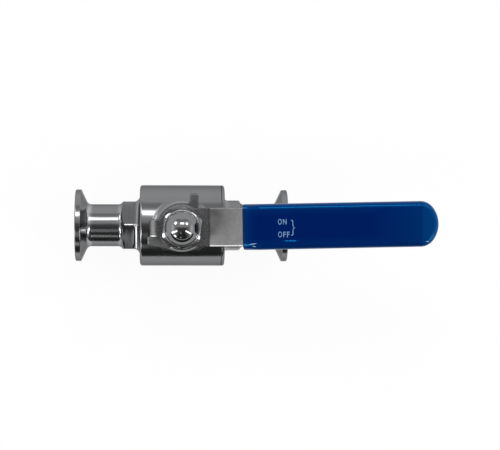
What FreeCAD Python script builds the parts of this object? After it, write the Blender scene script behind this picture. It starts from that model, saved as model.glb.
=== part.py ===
# Sanitary ball valve with clamp ferrules, full bore, quarter-turn lever
#
# The cast body carries the inlet ferrule, the stem boss and the two handle stops. The end cap
# screws in from the other side and carries the outlet ferrule. The bored ball sits between two
# seats and turns with the stem, whose tang drives the slot in the ball's crown.
# The origin is the centre of the ball, +X runs along the open bore and +Z up the stem.
# Lengths are millimetres and angles are degrees. The valve stands open.

import FreeCAD, Part
import os
import Sketcher

doc = FreeCAD.newDocument("sanitary_ball_valve")
dims = doc.addObject("Spreadsheet::Sheet", "dims")


sizes = {
    # Flow path: bore, tube wall, clamp ferrules and their gasket grooves
    "face_to_face": 100.0,
    "bore_diameter": 16.0,
    "neck_wall": 2.0,
    "ferrule_diameter": 34.0,
    "ferrule_rim": 2.65,
    "ferrule_back_angle": 25.0,
    "ferrule_rim_round": 0.5,
    "ferrule_root_fillet": 2.4,
    "gasket_groove_inset": 3.25,
    "gasket_groove_round": 1.6,
    "gasket_groove_depth": 1.0,

    # Spanner hexagons of the body and of the end cap
    "hex_stand": 1.2,
    "hex_corner_round": 0.8,
    "hex_chamfer_angle": 30.0,
    "hex_neck_fillet": 2.2,
    "body_hex_length": 7.3,
    "body_hex_root_fillet": 2.8,
    "body_hex_turn_angle": -2.3,
    "cap_hex_length": 6.5,
    "cap_hex_root_fillet": 1.4,
    "cap_hex_turn_angle": -9.0,

    # Ball, seats and the chamber round them
    "ball_wall": 4.5,
    "ball_port_round": 0.4,
    "ball_slot_width": 5.0,
    "ball_slot_wall": 1.6,
    "chamber_clearance": 0.6,
    "seat_back_stand": 0.1,
    "seat_length": 5.0,
    "seat_rim": 1.55,
    "seat_pocket_depth": 3.2,
    "seat_fit": 0.05,
    "seat_bore_relief": 0.1,
    "seat_ball_gap": 0.1,

    # End cap thread and the seal at its nose
    "cap_thread_step": 1.9,
    "cap_thread_fit": 0.03,
    "body_seal_thickness": 1.2,
    "body_seal_fit": 0.1,

    # Body drum and the seam where the end cap meets it
    "drum_wall": 4.15,
    "drum_back_wall": 7.0,
    "drum_front_wall": 6.2,
    "body_edge_round": 1.3,
    "cap_edge_round": 1.1,
    "cap_flange_land": 0.1,
    "seam_round": 0.3,

    # Stem, from the drive tang upwards
    "stem_diameter": 10.0,
    "stem_fit": 0.05,
    "stem_play": 0.05,
    "stem_top_chamfer": 0.8,
    "stem_flat_depth": 1.2,
    "stem_land": 2.8,
    "tang_inset": 1.5,
    "tang_fit": 0.1,
    "tang_floor_gap": 0.15,
    "collar_step": 2.0,
    "collar_ball_gap": 0.5,
    "collar_thickness": 1.95,
    "collar_pocket_fit": 0.2,
    "thrust_washer_thickness": 1.0,
    "o_ring_section": 1.0,
    "o_ring_fit": 0.02,
    "o_ring_groove_play": 0.3,

    # Packing, gland ring, disc springs and gland nut
    "packing_width": 2.5,
    "packing_fit": 0.05,
    "packing_side": 1.4,
    "packing_middle_side": 1.6,
    "packing_crown": 0.9,
    "chevron_rise": 0.8,
    "packing_gap": 0.02,
    "gland_ring_stand": 0.8,
    "gland_ring_fit": 0.1,
    "spring_inset": 0.3,
    "spring_thickness": 0.7,
    "spring_cone": 0.3,
    "spring_bore_fit": 0.15,
    "gland_nut_wall": 3.0,
    "gland_nut_thickness": 3.0,
    "thread_fit": 0.02,

    # Stem boss and handle stops
    "boss_wall": 3.3,
    "boss_stand": 6.45,
    "boss_root_fillet": 3.8,
    "boss_chamfer": 0.7,
    "stop_drop": 1.0,
    "stop_width": 3.9,
    "stop_gap": 0.12,
    "stop_round": 0.7,
    "open_stop_ledge": 1.05,
    "open_stop_flare_angle": 20.0,
    "closed_stop_ledge": 0.7,

    # Lever strip and its bent-down stop tab. The lever stands turned on the stem by a part of the
    # play that its hole has on the stem's flats.
    "lever_turn_angle": 1.25,
    "lever_thickness": 2.5,
    "lever_width": 17.6,
    "lever_tip": 115.0,
    "lever_end_flatness": 2.0,
    "lever_corner_round": 5.8,
    "lever_pad_ledge": 3.8,
    "lever_rise_angle": 25.0,
    "lever_rise_run": 21.4,
    "lever_bend_radius": 1.0,
    "lever_edge_round": 0.5,
    "lever_flats_fit": 0.1,
    "lever_shoulder_run": 4.0,
    "stop_tab_width": 7.9,
    "stop_tab_gap": 1.5,
    "stop_tab_overlap": 2.0,
    "stop_tab_throat": 2.0,
    "stop_tab_bend_radius": 1.0,

    # Vinyl sleeve
    "sleeve_wall": 1.6,
    "sleeve_fit": 0.03,
    "sleeve_slope_cover": 5.4,
    "sleeve_edge_round": 2.6,

    # Dome nut and its washer
    "washer_width": 3.8,
    "washer_thickness": 1.8,
    "washer_fit": 0.1,
    "washer_split": 0.8,
    "acorn_wall": 3.5,
    "acorn_turn_angle": -6.5,
    "acorn_hex_height": 7.5,
    "acorn_chamfer_inset": 0.55,
    "acorn_dome_wall": 2.35,
    "acorn_dome_neck": 0.8,
    "acorn_dome_root_fillet": 0.25,
    "acorn_thread_depth": 9.0,
    "acorn_thread_runout": 0.5,
    "nut_chamfer_angle": 30.0,
}
for row, (name, number) in enumerate(sizes.items(), start=1):
    dims.set(f"A{row}", name)
    dims.set(f"B{row}", str(number))
    dims.setAlias(f"B{row}", name)
doc.recompute()

# How far a cutting sketch runs past the face that it cuts, in millimetres
PAST = 1


def half(name):
    """Half of a named size, as an expression."""
    return f"(dims.{name} / 2)"


# Flow path, seen along and across the flow axis
FACE = half("face_to_face")
BORE_R = half("bore_diameter")
NECK_R = f"({BORE_R} + dims.neck_wall)"
FERRULE_R = half("ferrule_diameter")
RIM_BACK = f"({FACE} - dims.ferrule_rim)"
SLOPE_FOOT = f"({RIM_BACK} - ({FERRULE_R} - {NECK_R}) * tan(dims.ferrule_back_angle))"
HEX_FLATS = f"(2 * ({NECK_R} + dims.hex_stand))"
HEX_R = f"({HEX_FLATS} / (2 * cos(30)))"
HEX_CHAMFER = f"(({HEX_R} - {NECK_R}) * tan(dims.hex_chamfer_angle))"

# Ball, seats, chamber and thread, each one stepping outwards from the one before
BALL_R = f"({BORE_R} + dims.ball_wall)"
SLOT_FLOOR = f"({BORE_R} + dims.ball_slot_wall)"
CHAMBER_R = f"({BALL_R} + dims.chamber_clearance)"
SEAT_BACK = f"({BALL_R} + dims.seat_back_stand)"
SEAT_FRONT = f"({SEAT_BACK} - dims.seat_length)"
SEAT_BORE_R = f"({BORE_R} + dims.seat_bore_relief)"
SEAT_SPHERE_R = f"({BALL_R} + dims.seat_ball_gap)"
SEAT_LIP_R = f"sqrt({SEAT_SPHERE_R} ^ 2 - {SEAT_FRONT} ^ 2)"
SEAT_R = f"({SEAT_LIP_R} + dims.seat_rim)"
SEAT_POCKET_R = f"({SEAT_R} + dims.seat_fit)"
POCKET_MOUTH = f"({SEAT_BACK} - dims.seat_pocket_depth)"
THREAD_R = f"({CHAMBER_R} + dims.cap_thread_step)"
THREAD_BORE_R = f"({THREAD_R} + dims.cap_thread_fit)"
SHOULDER = f"({POCKET_MOUTH} - dims.body_seal_thickness)"

# Drum of the body and the end cap's flange
DRUM_R = f"({THREAD_R} + dims.drum_wall)"
DRUM_BACK = f"({SEAT_BACK} + dims.drum_back_wall)"
DRUM_FRONT = f"({SEAT_BACK} + dims.drum_front_wall)"
CAP_FACE = f"({DRUM_FRONT} + dims.seam_round + dims.cap_flange_land + dims.cap_edge_round)"

# Stem and packing box, outwards from the stem's axis
STEM_R = half("stem_diameter")
STEM_BORE_R = f"({STEM_R} + dims.stem_fit)"
STEM_FLAT = f"({STEM_R} - dims.stem_flat_depth)"
COLLAR_R = f"({STEM_R} + dims.collar_step)"
COLLAR_POCKET_R = f"({COLLAR_R} + dims.collar_pocket_fit)"
O_RING_GROOVE = "(dims.o_ring_section + dims.o_ring_groove_play)"
BOX_R = f"({STEM_R} + dims.packing_width)"
PACKING_IN = f"({STEM_R} + dims.packing_fit)"
PACKING_OUT = f"({BOX_R} - dims.packing_fit)"
PACKING_MID = f"(({PACKING_IN} + {PACKING_OUT}) / 2)"
BOSS_R = f"({BOX_R} + dims.boss_wall)"
WASHER_R = f"({STEM_R} + dims.washer_width)"

# Heights up the stem
TANG_BOTTOM = f"({SLOT_FLOOR} + dims.tang_floor_gap)"
COLLAR_BOTTOM = f"({BALL_R} + dims.collar_ball_gap)"
COLLAR_TOP = f"({COLLAR_BOTTOM} + dims.collar_thickness)"
WASHER_BOTTOM = f"({COLLAR_TOP} + dims.stem_play)"
COLLAR_POCKET_TOP = f"({WASHER_BOTTOM} + dims.thrust_washer_thickness)"
BOX_FLOOR = f"({COLLAR_POCKET_TOP} + dims.stem_land)"
BOTTOM_RING_TOP = f"({BOX_FLOOR} + dims.packing_side)"
MIDDLE_RING_TOP = f"({BOTTOM_RING_TOP} + dims.packing_middle_side)"
PACKING_TOP = f"({MIDDLE_RING_TOP} + dims.chevron_rise + dims.packing_crown)"
BOSS_TOP = f"({DRUM_R} + dims.boss_stand)"
GLAND_RING_TOP = f"({BOSS_TOP} + dims.gland_ring_stand)"
SPRING_BOTTOM = f"({GLAND_RING_TOP} + dims.stem_play)"
SPRING_HEIGHT = "(dims.spring_thickness + dims.spring_cone)"
GLAND_NUT_BOTTOM = f"({SPRING_BOTTOM} + 2 * {SPRING_HEIGHT})"
LEVER_BOTTOM = f"({GLAND_NUT_BOTTOM} + dims.gland_nut_thickness)"
LEVER_TOP = f"({LEVER_BOTTOM} + dims.lever_thickness)"
ACORN_BOTTOM = f"({LEVER_TOP} + dims.washer_thickness)"
ACORN_HEX_TOP = f"({ACORN_BOTTOM} + dims.acorn_hex_height)"
STEM_TOP = f"({ACORN_BOTTOM} + dims.acorn_thread_depth)"

# Stop tab of the lever and the cast stops that it meets
TAB_HALF = half("stop_tab_width")
TAB_INSIDE = f"({BOSS_R} + dims.stop_tab_gap)"
TAB_OUTSIDE = f"({TAB_INSIDE} + dims.lever_thickness)"
TURN_COS = "cos(dims.lever_turn_angle)"
TURN_SIN = "sin(dims.lever_turn_angle)"
OPEN_STOP_FACE = f"({TAB_HALF} * {TURN_COS} + {TAB_OUTSIDE} * {TURN_SIN} + dims.stop_gap)"
CLOSED_STOP_FACE = f"({TAB_HALF} * {TURN_COS} - {TAB_INSIDE} * {TURN_SIN} + dims.stop_gap)"
STOP_TOP = f"({BOSS_TOP} - dims.stop_drop)"
TAB_BOTTOM = f"({STOP_TOP} - dims.stop_tab_overlap)"

# Plan and side view of the bent lever strip, which the sleeve repeats further out
CREASE = f"({WASHER_R} + dims.lever_pad_ledge)"
FLAT_FROM = f"({CREASE} + dims.lever_rise_run)"
PAD_MIDDLE = f"({LEVER_BOTTOM} + dims.lever_thickness / 2)"
GRIP_MIDDLE = f"({PAD_MIDDLE} + dims.lever_rise_run * tan(dims.lever_rise_angle))"
LEAN = "tan(dims.lever_rise_angle / 2)"
SLEEVE_MOUTH = f"({FLAT_FROM} - dims.sleeve_slope_cover)"


def value(expression):
    """The number that an expression over the sheet comes to."""
    result = dims.evalExpression(str(expression))
    return float(getattr(result, "Value", result))


def new_body(label):
    """An empty piece that is built up from sketches."""
    body = doc.addObject("PartDesign::Body", label)
    body.Label = label
    return body


def sketch_on(body, role, name, offset=None):
    """A sketch on one of the piece's own origin planes, moved along its normal by an offset."""
    sketch = body.newObject("Sketcher::SketchObject", f"{body.Name}_{name}")
    origin_plane = next(item for item in body.Origin.OriginFeatures if item.Role == role)
    sketch.AttachmentSupport = (origin_plane, [""])
    sketch.MapMode = "FlatFace"
    if offset is not None:
        sketch.setExpression("AttachmentOffset.Base.z", offset)
    return sketch


def bound(sketch, constraint, expression):
    """Adds a constraint and binds its value to the sheet."""
    index = sketch.addConstraint(constraint)
    sketch.setExpression(f"Constraints[{index}]", str(expression))


def arc_between(start, end, radius, centre_on_left):
    """The shorter arc from start to end, with its centre to the left or right of the way there."""
    chord = end - start
    reach = chord.Length / 2
    side = FreeCAD.Vector(-chord.y, chord.x, 0).normalize()
    offset = side * max(radius ** 2 - reach ** 2, 0.0) ** 0.5
    middle = (start + end) * 0.5
    centre = middle + offset if centre_on_left else middle - offset
    bulge = -1 if centre_on_left else 1
    crown = centre + side * (bulge * radius)
    return Part.Arc(start, crown, end)


def outline(sketch, corners, arcs=None):
    """Closed outline through corners given as pairs of expressions. An entry of arcs gives, for
    the side after that corner, its radius and whether its centre lies to the left."""
    arcs = arcs or {}
    places = [FreeCAD.Vector(value(across), value(up), 0) for across, up in corners]
    first = sketch.GeometryCount
    ends = {}
    for index, start in enumerate(places):
        end = places[(index + 1) % len(places)]
        if index in arcs:
            radius, centre_on_left = arcs[index]
            curve = arc_between(start, end, value(radius), centre_on_left)
            sketch.addGeometry(curve, False)
            ends[index] = (1, 2) if centre_on_left else (2, 1)
        else:
            sketch.addGeometry(Part.LineSegment(start, end), False)
            ends[index] = (1, 2)
    for index in range(len(places)):
        following = (index + 1) % len(places)
        tail = ends[index][1]
        head = ends[following][0]
        joint = Sketcher.Constraint("Coincident", first + index, tail, first + following, head)
        sketch.addConstraint(joint)
    for index, (across, up) in enumerate(corners):
        edge = first + index
        head = ends[index][0]
        bound(sketch, Sketcher.Constraint("DistanceX", -1, 1, edge, head, value(across)), across)
        bound(sketch, Sketcher.Constraint("DistanceY", -1, 1, edge, head, value(up)), up)
    for index, (radius, _) in arcs.items():
        bound(sketch, Sketcher.Constraint("Radius", first + index, value(radius)), radius)
    return sketch


def circle(sketch, across, up, radius):
    """A circle whose centre and radius are bound to the sheet."""
    centre = FreeCAD.Vector(value(across), value(up), 0)
    index = sketch.addGeometry(Part.Circle(centre, FreeCAD.Vector(0, 0, 1), value(radius)), False)
    bound(sketch, Sketcher.Constraint("DistanceX", -1, 1, index, 3, value(across)), across)
    bound(sketch, Sketcher.Constraint("DistanceY", -1, 1, index, 3, value(up)), up)
    bound(sketch, Sketcher.Constraint("Radius", index, value(radius)), radius)
    return sketch


def hexagon(sketch, flats, turn="0"):
    """A regular hexagon by its width across flats, turned from corner-up by an angle."""
    corner = f"({flats} / (2 * cos(30)))"
    angles = [f"({90 + 60 * step} + {turn})" for step in range(6)]
    return outline(sketch, [(f"{corner} * cos({a})", f"{corner} * sin({a})") for a in angles])


def settle(feature, body, grows):
    """Recomputes a new feature and makes sure that it added or removed material."""
    before = body.Shape.Volume if body.Shape and not body.Shape.isNull() else 0.0
    doc.recompute()
    after = body.Shape.Volume
    if (after > before) != grows or abs(after - before) < 1e-6:
        raise RuntimeError(f"{feature.Name} left {body.Label} at {after} from {before}")
    return feature


def revolve(body, sketch, axis, cut=False):
    """Turns a sketch a full circle about its own H_Axis or V_Axis, as material or as a cut."""
    kind = "PartDesign::Groove" if cut else "PartDesign::Revolution"
    feature = body.newObject(kind, f"{sketch.Name}_turned")
    feature.Profile = (sketch, [""])
    feature.ReferenceAxis = (sketch, [axis])
    feature.Angle = 360
    return settle(feature, body, not cut)


def pad(body, sketch, length, reverse=False, both_ways=False):
    """Extrudes a sketch by an expression."""
    feature = body.newObject("PartDesign::Pad", f"{sketch.Name}_padded")
    feature.Profile = (sketch, [""])
    feature.setExpression("Length", length)
    feature.Reversed = reverse
    feature.SideType = "Symmetric" if both_ways else "One side"
    return settle(feature, body, True)


def pocket(body, sketch, length=None, reverse=False, both_ways=False):
    """Cuts a sketch into the piece, right through it unless a length is given."""
    feature = body.newObject("PartDesign::Pocket", f"{sketch.Name}_cut")
    feature.Profile = (sketch, [""])
    if length is None:
        feature.Type = "ThroughAll"
    else:
        feature.setExpression("Length", length)
    feature.Reversed = reverse
    feature.SideType = "Symmetric" if both_ways else "One side"
    return settle(feature, body, False)


def dress(body, kind, name, amount, chosen):
    """A fillet or chamfer on the edges of the piece that a test picks out."""
    base = body.Tip
    edges = [f"Edge{index + 1}" for index, edge in enumerate(base.Shape.Edges) if chosen(edge)]
    if not edges:
        raise RuntimeError(f"{body.Label}: no edge for {name}")
    feature = body.newObject(f"PartDesign::{kind}", f"{body.Name}_{name}")
    feature.Base = (base, edges)
    feature.setExpression("Radius" if kind == "Fillet" else "Size", amount)
    doc.recompute()
    return feature


def near(first, second):
    return abs(first - second) < 1e-4


def from_x_axis(point):
    return (point.y ** 2 + point.z ** 2) ** 0.5


def from_z_axis(point):
    return (point.x ** 2 + point.y ** 2) ** 0.5


def ring_about_x(place, radius):
    """Picks round edges about the flow axis at one place and radius."""
    where = value(place)
    wide = value(radius)

    def chosen(edge):
        ends = [vertex.Point for vertex in edge.Vertexes]
        level = all(near(point.x, where) and near(from_x_axis(point), wide) for point in ends)
        return level and isinstance(edge.Curve, Part.Circle) and near(edge.Curve.Radius, wide)

    return chosen


def ring_about_z(height, radius):
    """Picks round edges about the stem axis at one height and radius."""
    where = value(height)
    wide = value(radius)

    def chosen(edge):
        ends = [vertex.Point for vertex in edge.Vertexes]
        level = all(near(point.z, where) and near(from_z_axis(point), wide) for point in ends)
        return level and isinstance(edge.Curve, Part.Circle) and near(edge.Curve.Radius, wide)

    return chosen


def any_of(*tests):
    return lambda edge: any(test(edge) for test in tests)


def ferrule_outline(side, inner_end):
    """Outline of a ferrule and its neck down to the axis, on the side given by a sign."""
    return [
        (f"{side}{FACE}", "0"),
        (f"{side}{FACE}", FERRULE_R),
        (f"{side}{RIM_BACK}", FERRULE_R),
        (f"{side}{SLOPE_FOOT}", NECK_R),
        (f"{side}{inner_end}", NECK_R),
    ]


def add_spanner_hex(body, side, start, length, turn):
    """A hexagon with softened corners that stands on the drum's end face, chamfered to the neck."""
    sketch = sketch_on(body, "YZ_Plane", "hex", f"{side}{start}")
    hexagon(sketch, HEX_FLATS, turn)
    pad(body, sketch, f"{length} + {HEX_CHAMFER}", reverse=(side == "-"))
    corner = value(HEX_R)

    def long_corner(edge):
        ends = [vertex.Point for vertex in edge.Vertexes]
        along = len(ends) == 2 and not near(ends[0].x, ends[1].x)
        return along and all(near(from_x_axis(point), corner) for point in ends)

    dress(body, "Fillet", "hex_corners", "dims.hex_corner_round", long_corner)
    chamfer = sketch_on(body, "XZ_Plane", "hex_chamfer")
    full_end = f"({start} + {length})"
    neck_end = f"({full_end} + {HEX_CHAMFER})"
    past = f"({neck_end} + {PAST})"
    outline(chamfer, [
        (f"{side}{neck_end}", NECK_R),
        (f"{side}{full_end}", HEX_R),
        (f"{side}{full_end}", f"({HEX_R} + {PAST})"),
        (f"{side}{past}", f"({HEX_R} + {PAST})"),
        (f"{side}{past}", NECK_R),
    ])
    revolve(body, chamfer, "H_Axis", cut=True)
    dress(body, "Fillet", "hex_neck", "dims.hex_neck_fillet", ring_about_x(f"{side}{neck_end}", NECK_R))


def soften_hex_root(body, place, radius, name):
    """Fillets the foot of the hexagon where it stands on the drum's end face."""
    where = value(place)
    limit = value(HEX_R) + 0.01

    def chosen(edge):
        ends = [vertex.Point for vertex in edge.Vertexes]
        return all(near(point.x, where) and from_x_axis(point) < limit for point in ends)

    dress(body, "Fillet", name, radius, chosen)


def soften_ferrule(body, side):
    """Rounds the rim of a ferrule and fillets the foot of its back slope."""
    rim = any_of(
        ring_about_x(f"{side}{FACE}", FERRULE_R),
        ring_about_x(f"{side}{RIM_BACK}", FERRULE_R),
    )
    dress(body, "Fillet", "rim", "dims.ferrule_rim_round", rim)
    foot = ring_about_x(f"{side}{SLOPE_FOOT}", NECK_R)
    dress(body, "Fillet", "ferrule_foot", "dims.ferrule_root_fillet", foot)


def cut_gasket_groove(body, side):
    """The round groove in a ferrule's face that holds the bead of the clamp gasket."""
    sketch = sketch_on(body, "XZ_Plane", "gasket_groove")
    outward = f"({FACE} + dims.gasket_groove_round - dims.gasket_groove_depth)"
    middle_r = f"({FERRULE_R} - dims.gasket_groove_inset)"
    circle(sketch, f"{side}{outward}", middle_r, "dims.gasket_groove_round")
    revolve(body, sketch, "H_Axis", cut=True)


def make_body():
    """Cast body: inlet ferrule, neck, hexagon, drum, stem boss and handle stops."""
    body = new_body("body")
    shell = sketch_on(body, "XZ_Plane", "shell")
    drum = [
        (f"-{DRUM_BACK}", DRUM_R),
        (DRUM_FRONT, DRUM_R),
        (DRUM_FRONT, "0"),
    ]
    outline(shell, ferrule_outline("-", DRUM_BACK) + drum)
    revolve(body, shell, "H_Axis")
    soften_ferrule(body, "-")
    dress(body, "Fillet", "drum_edge", "dims.body_edge_round", ring_about_x(f"-{DRUM_BACK}", DRUM_R))
    dress(body, "Fillet", "seam_edge", "dims.seam_round", ring_about_x(DRUM_FRONT, DRUM_R))
    add_spanner_hex(body, "-", DRUM_BACK, "dims.body_hex_length", "dims.body_hex_turn_angle")
    soften_hex_root(body, f"-{DRUM_BACK}", "dims.body_hex_root_fillet", "hex_root")
    add_boss(body)
    join_blocks(body, [make_open_stop(), make_closed_stop()])
    cut_chamber(body)
    cut_stem_bores(body)
    cut_gasket_groove(body, "-")
    return body


def add_boss(body):
    """Round stem boss that grows out of the drum with a cast fillet."""
    sketch = sketch_on(body, "XY_Plane", "boss")
    circle(sketch, "0", "0", BOSS_R)
    pad(body, sketch, BOSS_TOP)
    wide = value(BOSS_R)
    drum = value(DRUM_R)

    def foot(edge):
        ends = [vertex.Point for vertex in edge.Vertexes]
        return all(near(from_z_axis(point), wide) and near(from_x_axis(point), drum) for point in ends)

    dress(body, "Fillet", "boss_foot", "dims.boss_root_fillet", foot)
    dress(body, "Chamfer", "boss_edge", "dims.boss_chamfer", ring_about_z(BOSS_TOP, BOSS_R))


def stop_block(label, corners, free):
    """A stop as a block of its own, from the stem axis plane up, with its free edges rounded."""
    block = new_body(label)
    sketch = sketch_on(block, "XY_Plane", "plan")
    outline(sketch, corners)
    pad(block, sketch, STOP_TOP)
    top = value(STOP_TOP)

    def chosen(edge):
        ends = [vertex.Point for vertex in edge.Vertexes]
        level = all(near(point.z, top) for point in ends)
        upright = near(ends[0].x, ends[1].x) and near(ends[0].y, ends[1].y)
        if upright:
            return all(free(point) for point in ends)
        return level and any(free(point) for point in ends)

    dress(block, "Fillet", "free_edges", "dims.stop_round", chosen)
    return block


def make_open_stop():
    """Stop beside the boss that the tab meets with the valve open, flared into the boss."""
    reach = f"({TAB_OUTSIDE} + dims.open_stop_ledge)"
    outer_side = f"({OPEN_STOP_FACE} + dims.stop_width)"
    flare_x = f"({BOSS_R} * sin(dims.open_stop_flare_angle))"
    flare_y = f"({BOSS_R} * cos(dims.open_stop_flare_angle))"
    corners = [
        (f"-{reach}", f"-{OPEN_STOP_FACE}"),
        (f"-{reach}", f"-{outer_side}"),
        (f"-{flare_x}", f"-{flare_y}"),
        (f"-{flare_x}", f"-{OPEN_STOP_FACE}"),
    ]
    end = -value(reach)
    return stop_block("open_stop", corners, lambda point: near(point.x, end))


def make_closed_stop():
    """Stop at the side of the boss that the tab meets with the valve closed."""
    reach = f"({TAB_OUTSIDE} + dims.closed_stop_ledge)"
    far_side = f"({CLOSED_STOP_FACE} + dims.stop_width)"
    corners = [
        (CLOSED_STOP_FACE, "0"),
        (far_side, "0"),
        (far_side, reach),
        (CLOSED_STOP_FACE, reach),
    ]
    end = value(reach)
    return stop_block("closed_stop", corners, lambda point: near(point.y, end))


def join_blocks(body, blocks):
    """Fuses blocks made by themselves into the casting."""
    joined = body.newObject("PartDesign::Boolean", f"{body.Name}_stops")
    joined.Type = "Fuse"
    joined.setObjects(blocks)
    settle(joined, body, True)


def cut_chamber(body):
    """Stepped bore along the flow axis: bore, seat pocket, ball chamber and end cap thread."""
    sketch = sketch_on(body, "XZ_Plane", "chamber")
    outline(sketch, [
        (f"-({FACE} + {PAST})", "0"),
        (f"-({FACE} + {PAST})", BORE_R),
        (f"-{SEAT_BACK}", BORE_R),
        (f"-{SEAT_BACK}", SEAT_POCKET_R),
        (f"-{POCKET_MOUTH}", SEAT_POCKET_R),
        (f"-{POCKET_MOUTH}", CHAMBER_R),
        (SHOULDER, CHAMBER_R),
        (SHOULDER, THREAD_BORE_R),
        (f"({DRUM_FRONT} + {PAST})", THREAD_BORE_R),
        (f"({DRUM_FRONT} + {PAST})", "0"),
    ])
    revolve(body, sketch, "H_Axis", cut=True)


def cut_stem_bores(body):
    """Stepped bore up the boss: collar pocket, stem bore and packing box."""
    sketch = sketch_on(body, "XZ_Plane", "stem_bores")
    outline(sketch, [
        ("0", "0"),
        (COLLAR_POCKET_R, "0"),
        (COLLAR_POCKET_R, COLLAR_POCKET_TOP),
        (STEM_BORE_R, COLLAR_POCKET_TOP),
        (STEM_BORE_R, BOX_FLOOR),
        (BOX_R, BOX_FLOOR),
        (BOX_R, f"({BOSS_TOP} + {PAST})"),
        ("0", f"({BOSS_TOP} + {PAST})"),
    ])
    revolve(body, sketch, "V_Axis", cut=True)


def make_end_cap():
    """Screwed end cap: nose with the outlet seat pocket, flange, hexagon, neck and ferrule."""
    body = new_body("end_cap")
    shell = sketch_on(body, "XZ_Plane", "shell")
    nose = [
        (CAP_FACE, NECK_R),
        (CAP_FACE, DRUM_R),
        (DRUM_FRONT, DRUM_R),
        (DRUM_FRONT, THREAD_R),
        (POCKET_MOUTH, THREAD_R),
        (POCKET_MOUTH, "0"),
    ]
    outline(shell, ferrule_outline("", CAP_FACE)[:-1] + nose)
    revolve(body, shell, "H_Axis")
    soften_ferrule(body, "")
    dress(body, "Fillet", "flange_edge", "dims.cap_edge_round", ring_about_x(CAP_FACE, DRUM_R))
    dress(body, "Fillet", "seam_edge", "dims.seam_round", ring_about_x(DRUM_FRONT, DRUM_R))
    add_spanner_hex(body, "", CAP_FACE, "dims.cap_hex_length", "dims.cap_hex_turn_angle")
    soften_hex_root(body, CAP_FACE, "dims.cap_hex_root_fillet", "hex_root")
    bore = sketch_on(body, "XZ_Plane", "bore")
    outline(bore, [
        (f"({POCKET_MOUTH} - {PAST})", "0"),
        (f"({POCKET_MOUTH} - {PAST})", SEAT_POCKET_R),
        (SEAT_BACK, SEAT_POCKET_R),
        (SEAT_BACK, BORE_R),
        (f"({FACE} + {PAST})", BORE_R),
        (f"({FACE} + {PAST})", "0"),
    ])
    revolve(body, bore, "H_Axis", cut=True)
    cut_gasket_groove(body, "")
    return body


def make_ball():
    """Bored ball with softened port edges and the drive slot across its crown."""
    body = new_body("ball")
    sketch = sketch_on(body, "XZ_Plane", "section")
    port_end = f"sqrt({BALL_R} ^ 2 - {BORE_R} ^ 2)"
    outline(sketch, [(f"{port_end}", BORE_R), (f"-{port_end}", BORE_R)], {0: (BALL_R, True)})
    revolve(body, sketch, "H_Axis")
    ports = any_of(ring_about_x(port_end, BORE_R), ring_about_x(f"-{port_end}", BORE_R))
    dress(body, "Fillet", "ports", "dims.ball_port_round", ports)
    slot = sketch_on(body, "XZ_Plane", "slot")
    side = half("ball_slot_width")
    outline(slot, [
        (f"-{side}", SLOT_FLOOR),
        (side, SLOT_FLOOR),
        (side, f"({BALL_R} + {PAST})"),
        (f"-{side}", f"({BALL_R} + {PAST})"),
    ])
    pocket(body, slot, both_ways=True)
    return body


def make_seat(label, side):
    """Seat ring whose front lip is ground to the ball."""
    body = new_body(label)
    sketch = sketch_on(body, "XZ_Plane", "section")
    lip_end = f"sqrt({SEAT_SPHERE_R} ^ 2 - {SEAT_BORE_R} ^ 2)"
    corners = [
        (f"{side}{SEAT_BACK}", SEAT_BORE_R),
        (f"{side}{SEAT_BACK}", SEAT_R),
        (f"{side}{SEAT_FRONT}", SEAT_R),
        (f"{side}{SEAT_FRONT}", SEAT_LIP_R),
        (f"{side}{lip_end}", SEAT_BORE_R),
    ]
    outline(sketch, corners, {3: (SEAT_SPHERE_R, side == "-")})
    revolve(body, sketch, "H_Axis")
    return body


def ring_on_axis(label, axis, inner, outer, start, end):
    """A plain ring about the flow axis or the stem axis."""
    body = new_body(label)
    sketch = sketch_on(body, "XZ_Plane", "section")
    if axis == "H_Axis":
        corners = [(start, inner), (end, inner), (end, outer), (start, outer)]
    else:
        corners = [(inner, start), (outer, start), (outer, end), (inner, end)]
    outline(sketch, corners)
    revolve(body, sketch, axis)
    return body


def make_body_seal():
    """Flat ring squeezed between the body's shoulder and the end cap's nose."""
    inner = f"({CHAMBER_R} + dims.body_seal_fit)"
    outer = f"({THREAD_R} - dims.body_seal_fit)"
    return ring_on_axis("body_seal", "H_Axis", inner, outer, SHOULDER, POCKET_MOUTH)


def make_stem():
    """Blow-out-proof stem: tang, collar, O-ring groove, shank with flats and a threaded top."""
    body = new_body("stem")
    sketch = sketch_on(body, "XZ_Plane", "section")
    tang_r = f"({COLLAR_R} - dims.tang_inset)"
    groove_r = f"({STEM_BORE_R} - dims.o_ring_fit * 2 - dims.o_ring_section)"
    groove_low = f"({COLLAR_POCKET_TOP} + (dims.stem_land - {O_RING_GROOVE}) / 2)"
    groove_high = f"({groove_low} + {O_RING_GROOVE})"
    outline(sketch, [
        ("0", TANG_BOTTOM),
        (tang_r, TANG_BOTTOM),
        (tang_r, COLLAR_BOTTOM),
        (COLLAR_R, COLLAR_BOTTOM),
        (COLLAR_R, COLLAR_TOP),
        (STEM_R, COLLAR_TOP),
        (STEM_R, groove_low),
        (groove_r, groove_low),
        (groove_r, groove_high),
        (STEM_R, groove_high),
        (STEM_R, f"({STEM_TOP} - dims.stem_top_chamfer)"),
        (f"({STEM_R} - dims.stem_top_chamfer)", STEM_TOP),
        ("0", STEM_TOP),
    ])
    revolve(body, sketch, "V_Axis")
    cut_side_flats(body, "tang", "XZ_Plane", f"({half('ball_slot_width')} - dims.tang_fit)",
                   f"({TANG_BOTTOM} - {PAST})", COLLAR_BOTTOM, COLLAR_R)
    cut_side_flats(body, "flats", "YZ_Plane", STEM_FLAT,
                   LEVER_BOTTOM, f"({STEM_TOP} + {PAST})", COLLAR_R)
    return body


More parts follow.
